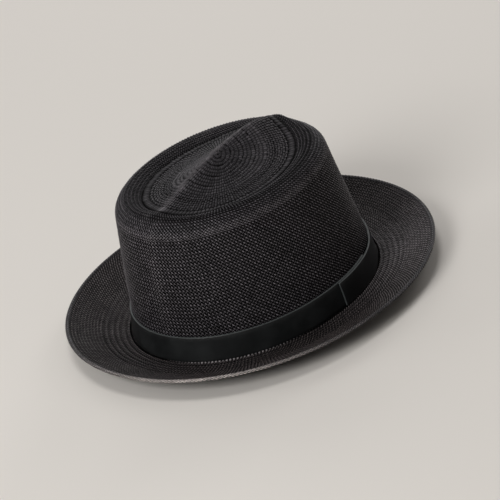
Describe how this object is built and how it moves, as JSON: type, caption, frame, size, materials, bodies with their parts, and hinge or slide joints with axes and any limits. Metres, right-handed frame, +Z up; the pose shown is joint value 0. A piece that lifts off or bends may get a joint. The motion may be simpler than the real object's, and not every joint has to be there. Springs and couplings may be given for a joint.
{
  "type": "straw fedora hat",
  "caption": "Woven straw hat with a tapering crown ridged along the top, an upturned brim with a rolled edge and a lapped leather band.",
  "frame": {"origin": "middle of the overall box at floor level, where the underside of the brim's break rests", "axes": "+Z up, the front of the hat faces -Y, the wearer's left is +X"},
  "size_m": [0.2738, 0.3006, 0.1279],
  "materials": {
    "crown_straw": "dyed woven straw, near black with a faint violet cast, satin",
    "brim_straw": "dyed woven straw, near black with a brown cast, satin",
    "band_leather": "smooth dyed leather, near black, soft sheen, paler cut edge"
  },
  "bodies": {
    "root": {"crown": "crown_straw", "brim": "brim_straw", "hat_band": "band_leather"}
  },
  "joints": []
}
